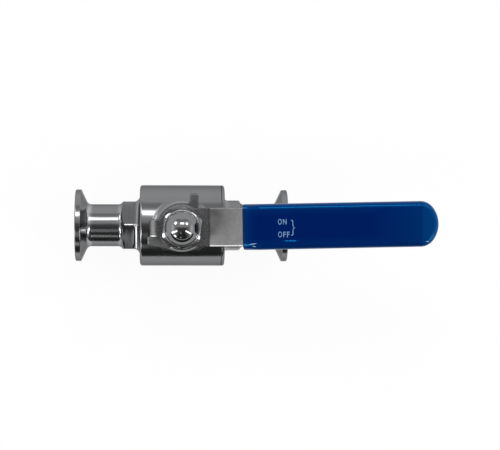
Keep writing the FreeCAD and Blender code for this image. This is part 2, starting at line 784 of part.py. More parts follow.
def cut_side_flats(body, name, role, flat, low, high, past):
    """Two opposite flats on a shaft, between two heights."""
    sketch = sketch_on(body, role, name)
    for side in ("", "-"):
        outline(sketch, [
            (f"{side}{flat}", low),
            (f"{side}({past} + {PAST})", low),
            (f"{side}({past} + {PAST})", high),
            (f"{side}{flat}", high),
        ])
    pocket(body, sketch, both_ways=True)


def make_o_ring():
    """O-ring in the groove of the stem."""
    body = new_body("stem_o_ring")
    sketch = sketch_on(body, "XZ_Plane", "section")
    radius = half("o_ring_section")
    centre = f"({STEM_BORE_R} - dims.o_ring_fit - {radius})"
    height = f"({COLLAR_POCKET_TOP} + dims.stem_land / 2)"
    circle(sketch, centre, height, radius)
    revolve(body, sketch, "V_Axis")
    return body


def chevron_ring(label, low, high, low_rise, high_rise):
    """A packing ring whose underside and top side may each rise to a ridge half way across."""
    body = new_body(label)
    sketch = sketch_on(body, "XZ_Plane", "section")
    corners = [(PACKING_IN, low)]
    if low_rise:
        corners.append((PACKING_MID, f"({low} + dims.chevron_rise)"))
    corners += [(PACKING_OUT, low), (PACKING_OUT, high)]
    if high_rise:
        corners.append((PACKING_MID, f"({high} + dims.chevron_rise)"))
    corners.append((PACKING_IN, high))
    outline(sketch, corners)
    revolve(body, sketch, "V_Axis")
    return body


def make_packing():
    """Bottom, middle and top chevron rings, nested in the packing box."""
    middle_low = f"({BOTTOM_RING_TOP} + dims.packing_gap)"
    top_low = f"({MIDDLE_RING_TOP} + dims.packing_gap)"
    return [
        chevron_ring("packing_bottom", BOX_FLOOR, BOTTOM_RING_TOP, False, True),
        chevron_ring("packing_middle", middle_low, MIDDLE_RING_TOP, True, True),
        chevron_ring("packing_top", top_low, PACKING_TOP, True, False),
    ]


def make_disc_spring(label, low, rise_inside):
    """A conical spring washer, dished up towards its bore or up towards its rim."""
    body = new_body(label)
    sketch = sketch_on(body, "XZ_Plane", "section")
    inner = f"({STEM_R} + dims.spring_bore_fit)"
    outer = f"({BOX_R} - dims.spring_inset)"
    inner_low = f"({low} + dims.spring_cone)" if rise_inside else low
    outer_low = low if rise_inside else f"({low} + dims.spring_cone)"
    outline(sketch, [
        (inner, inner_low),
        (outer, outer_low),
        (outer, f"({outer_low} + dims.spring_thickness)"),
        (inner, f"({inner_low} + dims.spring_thickness)"),
    ])
    revolve(body, sketch, "V_Axis")
    return body


def chamfer_nut(body, flats, low, high, high_inset="0"):
    """Turns the six corners of a nut down to its flats at its lower face, and to an inset within
    its flats at its upper face."""
    corner = f"({flats} / (2 * cos(30)))"
    ends = (("low_chamfer", low, "0", "+", "-"), ("high_chamfer", high, high_inset, "-", "+"))
    for name, face, inset, inward, outward in ends:
        start = f"({flats} / 2 - {inset})"
        drop = f"(({corner} - {start}) * tan(dims.nut_chamfer_angle))"
        sketch = sketch_on(body, "XZ_Plane", name)
        outline(sketch, [
            (start, face),
            (corner, f"({face} {inward} {drop})"),
            (f"({corner} + {PAST})", f"({face} {inward} {drop})"),
            (f"({corner} + {PAST})", f"({face} {outward} {PAST})"),
            (start, f"({face} {outward} {PAST})"),
        ])
        revolve(body, sketch, "V_Axis", cut=True)


def make_gland_nut():
    """Thin nut on the stem that loads the springs and carries the lever."""
    body = new_body("gland_nut")
    sketch = sketch_on(body, "XY_Plane", "hex", GLAND_NUT_BOTTOM)
    flats = f"(2 * ({STEM_R} + dims.gland_nut_wall))"
    hexagon(sketch, flats)
    pad(body, sketch, "dims.gland_nut_thickness")
    chamfer_nut(body, flats, GLAND_NUT_BOTTOM, LEVER_BOTTOM)
    bore = sketch_on(body, "XY_Plane", "thread")
    circle(bore, "0", "0", f"({STEM_R} + dims.thread_fit)")
    pocket(body, bore, reverse=True)
    return body


def strip_sides(grow):
    """Half thickness, half width, tip, end radius and corner radius of the strip, grown all round
    by a margin."""
    return (
        f"({half('lever_thickness')} + {grow})",
        f"({half('lever_width')} + {grow})",
        f"(dims.lever_tip + {grow})",
        f"({half('lever_width')} + dims.lever_end_flatness + {grow})",
        f"(dims.lever_corner_round + {grow})",
    )


def grip_profile(thick, tip):
    """Side view of the strip from the crease to past the tip: upper side out, lower side back."""
    shift = f"({thick} * {LEAN})"
    above = [
        (f"({CREASE} - {shift})", f"({PAD_MIDDLE} + {thick})"),
        (f"({FLAT_FROM} - {shift})", f"({GRIP_MIDDLE} + {thick})"),
        (f"({tip} + {PAST})", f"({GRIP_MIDDLE} + {thick})"),
    ]
    below = [
        (f"({tip} + {PAST})", f"({GRIP_MIDDLE} - {thick})"),
        (f"({FLAT_FROM} + {shift})", f"({GRIP_MIDDLE} - {thick})"),
        (f"({CREASE} + {shift})", f"({PAD_MIDDLE} - {thick})"),
    ]
    return above, below


def crosswise(spots):
    """Picks the edges that run across the strip at given places of its side view."""
    places = [(value(x), value(z)) for x, z in spots]

    def chosen(edge):
        ends = [vertex.Point for vertex in edge.Vertexes]
        if len(ends) != 2 or near(ends[0].y, ends[1].y):
            return False
        return any(all(near(p.x, x) and near(p.z, z) for p in ends) for x, z in places)

    return chosen


def trim_to_plan(body, wide, tip, end_radius, corner_radius, neck=None):
    """Cuts away what lies outside the strip's plan: straight sides that run through rounded
    corners into an arched end. A neck, given by the places where its shoulders start and end,
    narrows the other end to the tab."""
    sketch = sketch_on(body, "XY_Plane", "plan")
    far = f"({tip} + 3 * {PAST})"
    broad = f"({wide} + 3 * {PAST})"
    start = f"-({TAB_OUTSIDE} + {PAST})"
    behind = f"-({TAB_OUTSIDE} + 2 * {PAST})"
    outline(sketch, [(behind, f"-{broad}"), (far, f"-{broad}"), (far, broad), (behind, broad)])
    inner_r = f"({end_radius} - {corner_radius})"
    corner_y = f"({wide} - {corner_radius})"
    corner_run = f"sqrt({inner_r} ^ 2 - {corner_y} ^ 2)"
    side_x = f"({tip} - {end_radius} + {corner_run})"
    arch_x = f"({tip} - {end_radius} + {corner_run} * {end_radius} / {inner_r})"
    arch_y = f"({corner_y} * {end_radius} / {inner_r})"
    end = [(side_x, f"-{wide}"), (arch_x, f"-{arch_y}"), (arch_x, arch_y), (side_x, wide)]
    bends = [(corner_radius, True), (end_radius, True), (corner_radius, True)]
    if neck is None:
        corners = [(start, f"-{wide}"), *end, (start, wide)]
        outline(sketch, corners, dict(enumerate(bends, start=1)))
    else:
        shoulder, throat = neck
        near_side = [
            (start, f"-{TAB_HALF}"),
            (f"-{throat}", f"-{TAB_HALF}"),
            (f"-{shoulder}", f"-{wide}"),
        ]
        far_side = [
            (f"-{shoulder}", wide),
            (f"-{throat}", TAB_HALF),
            (start, TAB_HALF),
        ]
        outline(sketch, near_side + end + far_side, dict(enumerate(bends, start=3)))
    pocket(body, sketch, reverse=True)


def turn_with_lever(piece):
    """Turns a finished piece about the stem by the angle that the lever stands at."""
    piece.Placement = FreeCAD.Placement(
        FreeCAD.Vector(0, 0, 0),
        FreeCAD.Rotation(FreeCAD.Vector(0, 0, 1), value("dims.lever_turn_angle")),
    )
    piece.setExpression("Placement.Rotation.Angle", "dims.lever_turn_angle")
    doc.recompute()


def make_lever():
    """Pressed steel lever: stop tab, flat pad with a double-D hole, rise and straight grip."""
    body = new_body("handle_lever")
    thick, wide, tip, end_radius, corner_radius = strip_sides("0")
    above, below = grip_profile(thick, tip)
    tab = [
        (f"-{TAB_INSIDE}", LEVER_BOTTOM),
        (f"-{TAB_INSIDE}", TAB_BOTTOM),
        (f"-{TAB_OUTSIDE}", TAB_BOTTOM),
        (f"-{TAB_OUTSIDE}", LEVER_TOP),
    ]
    side_view = sketch_on(body, "XZ_Plane", "side_view")
    outline(side_view, above + below + tab)
    pad(body, side_view, f"2 * ({wide} + {PAST})", both_ways=True)
    inside = "dims.lever_bend_radius"
    outside = "(dims.lever_bend_radius + dims.lever_thickness)"
    dress(body, "Fillet", "bends_inside", inside, crosswise([above[0], below[1]]))
    dress(body, "Fillet", "bends_outside", outside, crosswise([above[1], below[2]]))
    dress(body, "Fillet", "tab_inside", "dims.stop_tab_bend_radius", crosswise([tab[0]]))
    dress(body, "Fillet", "tab_outside", "(dims.stop_tab_bend_radius + dims.lever_thickness)",
          crosswise([tab[3]]))
    throat = f"({TAB_INSIDE} - dims.stop_tab_throat)"
    shoulder = f"({throat} - dims.lever_shoulder_run)"
    trim_to_plan(body, wide, tip, end_radius, corner_radius, (shoulder, throat))
    hole = sketch_on(body, "XY_Plane", "hole")
    hole_r = f"({STEM_R} + dims.lever_flats_fit)"
    flat = f"({STEM_FLAT} + dims.lever_flats_fit)"
    run = f"sqrt({hole_r} ^ 2 - {flat} ^ 2)"
    corners = [(f"-{run}", f"-{flat}"), (run, f"-{flat}"), (run, flat), (f"-{run}", flat)]
    outline(hole, corners, {1: (hole_r, True), 3: (hole_r, True)})
    pocket(body, hole, reverse=True)
    round_strip_edges(body, hole_r)
    turn_with_lever(body)
    return body


def round_strip_edges(body, hole_r):
    """Rounds the long edges of the strip, as pressing leaves them, but not its hole or corners."""
    hole = value(hole_r)
    tab_end = value(TAB_BOTTOM)
    thick = value("dims.lever_thickness")

    def chosen(edge):
        ends = [vertex.Point for vertex in edge.Vertexes]
        first, last = ends[0], ends[-1]
        crosswise_edge = near(first.x, last.x) and near(first.z, last.z)
        upright = near(first.x, last.x) and near(first.y, last.y)
        corner = upright and abs(first.z - last.z) < thick + 0.01
        in_hole = all(from_z_axis(point) < hole + 0.01 for point in ends)
        at_tab_end = all(near(point.z, tab_end) for point in ends)
        return not (crosswise_edge or corner or in_hole or at_tab_end)

    dress(body, "Fillet", "long_edges", "dims.lever_edge_round", chosen)


def sleeve_strip(label, grow, past_mouth="0"):
    """The strip grown by a margin, from the sleeve's mouth on its slope to past its bend."""
    body = new_body(label)
    thick, wide, tip, end_radius, corner_radius = strip_sides(grow)
    above, below = grip_profile(thick, tip)
    mouth = f"({SLEEVE_MOUTH} - {past_mouth})"
    along = f"({PAD_MIDDLE} + ({mouth} - {CREASE}) * tan(dims.lever_rise_angle))"
    across_x = f"({thick} * sin(dims.lever_rise_angle))"
    across_z = f"({thick} * cos(dims.lever_rise_angle))"
    mouth_corners = [
        (f"({mouth} + {across_x})", f"({along} - {across_z})"),
        (f"({mouth} - {across_x})", f"({along} + {across_z})"),
    ]
    side_view = sketch_on(body, "XZ_Plane", "side_view")
    outline(side_view, above[1:] + below[:-1] + mouth_corners)
    pad(body, side_view, f"2 * ({wide} + {PAST})", both_ways=True)
    dress(body, "Fillet", "bend_inside", "dims.lever_bend_radius", crosswise([below[1]]))
    middle = f"(dims.lever_bend_radius + {half('lever_thickness')})"
    dress(body, "Fillet", "bend_outside", f"({middle} + {thick})", crosswise([above[1]]))
    trim_to_plan(body, wide, tip, end_radius, corner_radius)
    return body


def make_sleeve():
    """Vinyl sleeve with a closed, arched end, slipped over the lever's grip."""
    grow = "(dims.sleeve_wall + dims.sleeve_fit)"
    outer = sleeve_strip("sleeve_outside", grow)
    wide = value(f"({half('lever_width')} + {grow})")
    mouth = value(SLEEVE_MOUTH)

    def long_edge(edge):
        box = edge.BoundBox
        side = near(box.YMin, box.YMax) and near(abs(box.YMin), wide)
        ends = [vertex.Point for vertex in edge.Vertexes]
        arched = isinstance(edge.Curve, Part.Circle) and near(box.ZMin, box.ZMax) and box.YLength > 1
        return (side and max(p.x for p in ends) > mouth + 2 and box.XLength > 0.05) or arched

    dress(outer, "Fillet", "long_edges", "dims.sleeve_edge_round", long_edge)
    inner = sleeve_strip("sleeve_inside", "dims.sleeve_fit", f"2 * {PAST}")
    sleeve = doc.addObject("Part::Cut", "handle_sleeve")
    sleeve.Label = "handle_sleeve"
    sleeve.Base = outer
    sleeve.Tool = inner
    turn_with_lever(sleeve)
    return sleeve


def make_lock_washer():
    """Split spring washer between the lever and the dome nut."""
    body = ring_on_axis("lock_washer", "V_Axis", f"({STEM_R} + dims.washer_fit)",
                        WASHER_R, LEVER_TOP, ACORN_BOTTOM)
    sketch = sketch_on(body, "XY_Plane", "split")
    side = half("washer_split")
    reach = f"({WASHER_R} + {PAST})"
    outline(sketch, [(f"-{side}", f"-{reach}"), (side, f"-{reach}"), (side, "0"), (f"-{side}", "0")])
    pocket(body, sketch, reverse=True)
    return body


def make_acorn_nut():
    """Dome nut: chamfered hexagon, round dome and blind threaded hole."""
    body = new_body("acorn_nut")
    sketch = sketch_on(body, "XY_Plane", "hex", ACORN_BOTTOM)
    flats = f"(2 * ({STEM_R} + dims.acorn_wall))"
    hexagon(sketch, flats, "dims.acorn_turn_angle")
    pad(body, sketch, "dims.acorn_hex_height")
    chamfer_nut(body, flats, ACORN_BOTTOM, ACORN_HEX_TOP, "dims.acorn_chamfer_inset")
    dome_r = f"({STEM_R} + dims.acorn_dome_wall)"
    spring_line = f"({ACORN_HEX_TOP} + dims.acorn_dome_neck)"
    dome = sketch_on(body, "XZ_Plane", "dome")
    corners = [
        ("0", f"({ACORN_HEX_TOP} - {PAST})"),
        (dome_r, f"({ACORN_HEX_TOP} - {PAST})"),
        (dome_r, spring_line),
        ("0", f"({spring_line} + {dome_r})"),
    ]
    outline(dome, corners, {2: (dome_r, True)})
    revolve(body, dome, "V_Axis")
    foot = ring_about_z(ACORN_HEX_TOP, dome_r)
    dress(body, "Fillet", "dome_foot", "dims.acorn_dome_root_fillet", foot)
    hole = sketch_on(body, "XZ_Plane", "thread")
    hole_r = f"({STEM_R} + dims.thread_fit)"
    hole_top = f"({STEM_TOP} + dims.acorn_thread_runout)"
    outline(hole, [
        ("0", f"({ACORN_BOTTOM} - {PAST})"),
        (hole_r, f"({ACORN_BOTTOM} - {PAST})"),
        (hole_r, hole_top),
        ("0", f"({hole_top} + {hole_r} * tan(30))"),
    ])
    revolve(body, hole, "V_Axis", cut=True)
    return body


def make_pieces():
    """Every separate piece of the valve, from the casing inwards and up the stem."""
    middle_spring = f"({SPRING_BOTTOM} + {SPRING_HEIGHT})"
    washer_in = f"({STEM_R} + dims.packing_fit)"
    gland_in = f"({STEM_R} + dims.gland_ring_fit)"
    gland_out = f"({BOX_R} - dims.gland_ring_fit)"
    return [
        make_body(),
        make_end_cap(),
        make_body_seal(),
        make_seat("seat_inlet", "-"),
        make_seat("seat_outlet", ""),
        make_ball(),
        make_stem(),
        make_o_ring(),
        ring_on_axis("thrust_washer", "V_Axis", washer_in, COLLAR_R, WASHER_BOTTOM, COLLAR_POCKET_TOP),
        *make_packing(),
        ring_on_axis("gland_ring", "V_Axis", gland_in, gland_out, PACKING_TOP, GLAND_RING_TOP),
        make_disc_spring("disc_spring_lower", SPRING_BOTTOM, True),
        make_disc_spring("disc_spring_upper", middle_spring, False),
        make_gland_nut(),
        make_lever(),
        make_lock_washer(),
        make_acorn_nut(),
        make_sleeve(),
    ]


pieces = make_pieces()
doc.recompute()
failed = [item.Name for item in doc.Objects if {"Invalid", "Error"} & set(item.State)]
for piece in pieces:
    if piece.Shape.isNull() or not piece.Shape.isValid() or len(piece.Shape.Solids) != 1:
        failed.append(piece.Label)
if failed:
    raise RuntimeError("these did not build: " + ", ".join(failed))
os.makedirs("parts", exist_ok=True)
for piece in pieces:
    piece.Shape.exportStep(f"parts/{piece.Label}.step")
    print(piece.Label, round(piece.Shape.Volume, 1), piece.Shape.BoundBox)
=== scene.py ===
# Sanitary ball valve with clamp ferrules, seen from above the stem on a white table.
#
# Every piece of the valve gets its finish here, in the order in which the valve is put together,
# and the print on the handle sleeve is added. After the valve come the table, the studio light
# and the camera. Lengths are metres.

import math

import bpy
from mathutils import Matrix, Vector


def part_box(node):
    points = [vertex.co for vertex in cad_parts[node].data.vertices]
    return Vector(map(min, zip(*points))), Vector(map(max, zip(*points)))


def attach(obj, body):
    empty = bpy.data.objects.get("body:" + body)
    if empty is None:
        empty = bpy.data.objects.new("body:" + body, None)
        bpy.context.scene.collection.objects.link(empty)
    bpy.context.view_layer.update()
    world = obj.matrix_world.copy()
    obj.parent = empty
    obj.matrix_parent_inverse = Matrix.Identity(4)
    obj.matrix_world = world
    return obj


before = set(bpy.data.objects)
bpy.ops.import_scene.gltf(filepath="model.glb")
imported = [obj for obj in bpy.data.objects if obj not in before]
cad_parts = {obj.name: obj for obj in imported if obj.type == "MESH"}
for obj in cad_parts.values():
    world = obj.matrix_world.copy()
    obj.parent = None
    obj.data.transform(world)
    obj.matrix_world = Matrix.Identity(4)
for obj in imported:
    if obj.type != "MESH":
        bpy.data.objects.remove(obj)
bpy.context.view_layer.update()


# Body: the stainless investment casting that holds everything. It is shot clean, turned at the
# ferrule and the seam, and electropolished, which leaves a dark, bright skin with soft ripples
# of the cast surface. The tops of the boss and of the two handle stops stay rough.

def new_finish(name):
    """An empty finish: the material, its node tree and the shader that the patterns feed."""
    material = bpy.data.materials.new(name)
    material.use_nodes = True
    tree = material.node_tree
    return material, tree, tree.nodes["Principled BSDF"]


def place_on_piece(tree):
    """The place on the piece, in metres, that a pattern reads."""
    return tree.nodes.new("ShaderNodeTexCoord").outputs["Object"]


def along_axes(tree, place):
    """The place taken apart into its distances along the three axes."""
    split = tree.nodes.new("ShaderNodeSeparateXYZ")
    tree.links.new(place, split.inputs["Vector"])
    return split.outputs["X"], split.outputs["Y"], split.outputs["Z"]


def clouds(tree, place, size, detail=3.0):
    """A cloudy pattern whose spots are about that size."""
    noise = tree.nodes.new("ShaderNodeTexNoise")
    noise.inputs["Scale"].default_value = 1 / size
    noise.inputs["Detail"].default_value = detail
    tree.links.new(place, noise.inputs["Vector"])
    return noise.outputs["Fac"]


# Nearly all of a cloudy pattern lies between these two values, and it is smooth at this detail.
cloud_range = (0.3, 0.7)
smooth = 1.0


def worked(tree, operation, *terms):
    """A sum or another operation on patterns and plain numbers."""
    node = tree.nodes.new("ShaderNodeMath")
    node.operation = operation
    for socket, term in zip(node.inputs, terms):
        if isinstance(term, (int, float)):
            socket.default_value = term
        else:
            tree.links.new(term, socket)
    return node.outputs["Value"]


def product(tree, first, *others):
    """Patterns and plain numbers multiplied."""
    result = first
    for other in others:
        result = worked(tree, "MULTIPLY", result, other)
    return result


def sum_of_squares(tree, first, second):
    """The square of the distance that two lengths at right angles give."""
    return worked(tree, "ADD", product(tree, first, first), product(tree, second, second))


def spread(tree, factor, low, high, to_low=0, to_high=1):
    """Spreads the part of a pattern between low and high over another range."""
    node = tree.nodes.new("ShaderNodeMapRange")
    node.inputs["From Min"].default_value = low
    node.inputs["From Max"].default_value = high
    node.inputs["To Min"].default_value = to_low
    node.inputs["To Max"].default_value = to_high
    tree.links.new(factor, node.inputs["Value"])
    return node.outputs["Result"]


def plateau(tree, value, rise, fall):
    """1 between a rise and a fall, each given by where it starts and where it ends."""
    return product(tree, spread(tree, value, *rise), spread(tree, value, *fall, 1, 0))


def band(tree, value, middle, reach):
    """1 where a value is at the middle, fading to 0 at that reach from it."""
    away = worked(tree, "ABSOLUTE", worked(tree, "SUBTRACT", value, middle))
    return spread(tree, away, 0, reach, 1, 0)


def two_tones(tree, pattern, first, second):
    """Blends from the first colour to the second as the pattern rises."""
    ramp = tree.nodes.new("ShaderNodeValToRGB")
    ramp.color_ramp.elements[0].color = (*first, 1)
    ramp.color_ramp.elements[1].color = (*second, 1)
    tree.links.new(pattern, ramp.inputs["Fac"])
    return ramp.outputs["Color"]


def blended(tree, kind, factor, first, second):
    """Mixes two colours or two values by a pattern. Kind is RGBA or FLOAT."""
    mix = tree.nodes.new("ShaderNodeMix")
    mix.data_type = kind
    sockets = [socket for socket in mix.inputs if socket.enabled]
    tree.links.new(factor, sockets[0])
    for socket, source in zip(sockets[1:], (first, second)):
        tree.links.new(source, socket)
    return next(socket for socket in mix.outputs if socket.enabled)


def laid_on(tree, tone, where, pattern, colours):
    """Lays a pair of colours, blended by a pattern, over a tone where another pattern says so."""
    return blended(tree, "RGBA", where, tone, two_tones(tree, pattern, *colours))


def bumps(tree, height, depth, under=None):
    """Raises the skin by a pattern, on top of the bumps under it."""
    node = tree.nodes.new("ShaderNodeBump")
    node.inputs["Strength"].default_value = 1
    node.inputs["Distance"].default_value = depth
    tree.links.new(height, node.inputs["Height"])
    if under is not None:
        tree.links.new(under, node.inputs["Normal"])
    return node.outputs["Normal"]


def rubbed_edges(tree, width):
    """1 along the piece's edges, where handling rubs them, and 0 away from them."""
    nearly_flat = 0.98
    sharp = 0.80
    rounded = tree.nodes.new("ShaderNodeBevel")
    rounded.samples = 6
    rounded.inputs["Radius"].default_value = width
    surface = tree.nodes.new("ShaderNodeNewGeometry")
    turn = tree.nodes.new("ShaderNodeVectorMath")
    turn.operation = "DOT_PRODUCT"
    tree.links.new(rounded.outputs["Normal"], turn.inputs[0])
    tree.links.new(surface.outputs["Normal"], turn.inputs[1])
    return spread(tree, turn.outputs["Value"], nearly_flat, sharp)


def steel(name, dark, light, edge, roughness, cloud, ripple, ripple_depth, grain, grain_depth,
          local=None):
    """A steel finish. Its tone and polish drift from dark to light in clouds, its skin has soft
    ripples under a fine grain, and its rubbed edges show the edge colour. Local changes the tone,
    the roughness and the shape of the skin from place to place."""
    edge_width = 0.0004
    edge_in_shade = [0.9 * each for each in edge]
    material, tree, shader = new_finish(name)
    place = place_on_piece(tree)
    drift = clouds(tree, place, cloud)
    tone = two_tones(tree, drift, dark, light)
    tone = laid_on(tree, tone, rubbed_edges(tree, edge_width), drift, (edge, edge_in_shade))
    shader.inputs["Metallic"].default_value = 1
    shader.inputs["Specular Tint"].default_value = (0.45, 0.45, 0.46, 1)
    grain_pattern = clouds(tree, place, grain)
    polish = spread(tree, grain_pattern, *cloud_range, *roughness)
    relief = None
    if local is not None:
        tone, polish, relief = local(tree, place, grain_pattern, tone, polish)
    tree.links.new(tone, shader.inputs["Base Color"])
    tree.links.new(polish, shader.inputs["Roughness"])
    relief = bumps(tree, clouds(tree, place, ripple, smooth), ripple_depth, relief)
    tree.links.new(bumps(tree, grain_pattern, grain_depth, relief), shader.inputs["Normal"])
    return material


def paint(node, material):
    """Gives a piece of the valve its finish, in place of the plain one."""
    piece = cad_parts[node]
    for place in piece.material_slots:
        place.material = material
    if not piece.material_slots:
        piece.data.materials.append(material)


# The first grey is buffing on the near stop and painted reflection in the hollows.
buffing_and_reflection_grey = ((0.52, 0.525, 0.53), (0.62, 0.625, 0.63))
# Painted highlight: a pale grey for the highlights and sheen laid on the castings.
painted_highlight_grey = ((0.75, 0.75, 0.76), (0.85, 0.85, 0.86))
shaded = ((0.10, 0.10, 0.102), (0.14, 0.14, 0.142))
as_cast = ((0.05, 0.05, 0.052), (0.24, 0.24, 0.245))
worn_flat = ((0.20, 0.20, 0.205), (0.36, 0.365, 0.37))
stop_tops = (0.0240, 0.0244)
upper_side = (0.0040, 0.0050)


def painted_hollow_reflection(tree, x, from_stem):
    """The hollows at the foot of the boss, the ferrule and the hexagons, which a painted reflection
    makes lighter."""
    boss_foot_radius = 0.0112
    hollows = product(tree, band(tree, from_stem, boss_foot_radius, 0.0008), 0.4)
    for along_pipe, reach, share in (
        (-0.0433, 0.0016, 0.55),
        (-0.0290, 0.0014, 0.35),
        (-0.0210, 0.0022, 0.1),
        (0.0213, 0.0016, 0.2),
    ):
        hollow = product(tree, band(tree, x, along_pipe, reach), share)
        hollows = worked(tree, "MAXIMUM", hollows, hollow)
    return hollows


def rough_tops(tree, axes, grain_pattern, tone):
    """The tops of the stops keep their cast skin, slightly buffed on the near one, and the top of
    the boss is worn by the lever."""
    _, y, z = axes
    stop_top = plateau(tree, z, stop_tops, (0.0250, 0.0252))
    tone = laid_on(tree, tone, stop_top, grain_pattern, as_cast)
    near_stop = product(tree, stop_top, spread(tree, y, 0.0, -0.001, 0, 0.22))
    tone = laid_on(tree, tone, near_stop, grain_pattern, buffing_and_reflection_grey)
    boss_top = spread(tree, z, 0.0253, 0.0255)
    return laid_on(tree, tone, boss_top, grain_pattern, worn_flat)


def boss_edge(tree, axes, from_stem, grain_pattern, tone):
    """The chamfer round the top of the boss, softly rounded, with painted shade over it and a painted
    highlight on its near left. Gives the tone, the roughness of the highlit part and the rounding."""
    x, y, z = axes
    chamfer = product(tree, spread(tree, z, 0.0248, 0.0249), spread(tree, from_stem, 0.0100, 0.0101))
    chamfer_middle = 0.01045
    roundness = -430
    off_middle = worked(tree, "SUBTRACT", from_stem, chamfer_middle)
    rounding = bumps(tree, product(tree, off_middle, off_middle, chamfer), roundness)
    # Painted shade over the chamfer.
    tone = laid_on(tree, tone, product(tree, chamfer, 0.7), grain_pattern, shaded)
    # Painted highlight along the near left of the chamfer.
    near_left = (-0.743, -0.669)
    toward_near_left = worked(tree, "MULTIPLY_ADD", y, near_left[1], product(tree, x, near_left[0]))
    highlit_arc = product(tree, spread(tree, toward_near_left, 0.0094, 0.0098), chamfer)
    tone = laid_on(tree, tone, highlit_arc, grain_pattern, painted_highlight_grey)
    return tone, product(tree, highlit_arc, 0.42), rounding


def hexagon_flats(tree, axes, grain_pattern, tone, relief):
    """The wrench flats, swollen a little by the polishing, with a painted highlight along the top
    ridge, painted shade along the far one, and a painted light and a painted dark streak on the near
    flat of the inlet."""
    x, y, z = axes
    flat_radius = 0.0112
    flat_roundness = -4.8
    ridge_radii = (0.0125, 0.0128)
    on_hexagon = plateau(tree, worked(tree, "ABSOLUTE", x), (0.0218, 0.0228), (0.0266, 0.0276))
    from_axis = sum_of_squares(tree, y, z)
    past_flat = worked(tree, "SUBTRACT", from_axis, flat_radius ** 2)
    relief = bumps(tree, product(tree, past_flat, on_hexagon), flat_roundness, relief)
    at_ridge = spread(tree, from_axis, ridge_radii[0] ** 2, ridge_radii[1] ** 2, 0, 0.7)
    # Painted highlight along the top ridge.
    painted_ridge_highlight = product(tree, at_ridge, on_hexagon, spread(tree, z, 0.0105, 0.0112))
    tone = laid_on(tree, tone, painted_ridge_highlight, grain_pattern, painted_highlight_grey)
    near_flat = product(tree, plateau(tree, y, (-0.0080, -0.0040), (-0.0015, 0.0005)),
                        spread(tree, z, *upper_side))
    # Painted light streak on the near flat.
    painted_light_streak = product(tree, near_flat, band(tree, x, -0.0223, 0.0014), 0.45)
    tone = laid_on(tree, tone, painted_light_streak, grain_pattern, painted_highlight_grey)
    # Painted dark streak, as shade, on the near flat.
    painted_dark_streak = product(tree, near_flat, band(tree, x, -0.0243, 0.0013), 0.7)
    tone = laid_on(tree, tone, painted_dark_streak, grain_pattern, shaded)
    # Painted shade along the far ridge.
    painted_far_shade = product(tree, spread(tree, y, 0.0112, 0.0118, 0, 0.8), band(tree, x, 0.0250, 0.0040))
    return laid_on(tree, tone, painted_far_shade, grain_pattern, shaded), relief


def ferrule_back(tree, axes, grain_pattern, tone):
    """The slope behind the inlet ferrule, with a painted highlight and a painted sheen on its upper
    side.
    """
    x, y, z = axes
    slope = -0.0450
    # Painted highlight on the upper side of the slope.
    painted_highlight_spot = product(tree, plateau(tree, y, (-0.0023, -0.0018), (-0.0012, 0.0016)),
                    band(tree, x, slope, 0.0022), spread(tree, z, *upper_side, 0, 1.6))
    tone = laid_on(tree, tone, worked(tree, "MINIMUM", painted_highlight_spot, 1), grain_pattern, painted_highlight_grey)
    # Painted sheen on the slope.
    painted_sheen = product(tree, band(tree, y, 0.0045, 0.0050), band(tree, x, slope, 0.0026),
                    spread(tree, z, *upper_side, 0, 0.5))
    return laid_on(tree, tone, painted_sheen, grain_pattern, painted_highlight_grey)


def wear_and_painted_light(tree, place, grain_pattern, tone, polish):
    """All that the buffing wheel and use change from place to place on the two castings, with the
    painted highlights, reflections and shade laid over them.
    """
    axes = along_axes(tree, place)
    x, y, z = axes
    from_stem = worked(tree, "SQRT", sum_of_squares(tree, x, y))
    # Painted reflection lightens the hollows.
    tone = laid_on(tree, tone, painted_hollow_reflection(tree, x, from_stem), grain_pattern, buffing_and_reflection_grey)
    tone = rough_tops(tree, axes, grain_pattern, tone)
    tone, highlit_arc, relief = boss_edge(tree, axes, from_stem, grain_pattern, tone)
    tone, relief = hexagon_flats(tree, axes, grain_pattern, tone, relief)
    tone = ferrule_back(tree, axes, grain_pattern, tone)
    tops = spread(tree, z, *stop_tops, 0, 0.5)
    above_drum = spread(tree, z, 0.0150, 0.0158)
    boss_foot = product(tree, spread(tree, from_stem, 0.0148, 0.0138, 0, 0.36), above_drum)
    for rough in (tops, boss_foot, highlit_arc):
        polish = worked(tree, "MAXIMUM", polish, rough)
    return tone, polish, relief


cast_steel = steel(
    "cast_steel", dark=(0.205, 0.210, 0.215), light=(0.230, 0.235, 0.240), edge=(0.33, 0.335, 0.34),
    roughness=(0.13, 0.18), cloud=0.012, ripple=0.007, ripple_depth=0.00006,
    grain=0.0006, grain_depth=0.000002, local=wear_and_painted_light,
)
paint("body", cast_steel)


# End cap: the casting that screws into the body and carries the outlet ferrule. It is polished
# together with the body, so its finish is the same.

paint("end_cap", cast_steel)


# Body seal and seats: rings turned from PTFE rod, milky and waxy, pressed between the castings and
# against the ball.

def soft_finish(name, first, second, roughness, cloud, grain, grain_depth):
    """A finish without metal: its tone drifts between two colours under a fine grain."""
    edge_width = 0.0003
    material, tree, shader = new_finish(name)
    place = place_on_piece(tree)
    drift = clouds(tree, place, cloud)
    tone = two_tones(tree, drift, first, second)
    tone = laid_on(tree, tone, rubbed_edges(tree, edge_width), drift, (second, first))
    tree.links.new(tone, shader.inputs["Base Color"])
    grain_pattern = clouds(tree, place, grain)
    tree.links.new(spread(tree, grain_pattern, *cloud_range, *roughness), shader.inputs["Roughness"])
    tree.links.new(bumps(tree, grain_pattern, grain_depth), shader.inputs["Normal"])
    return material


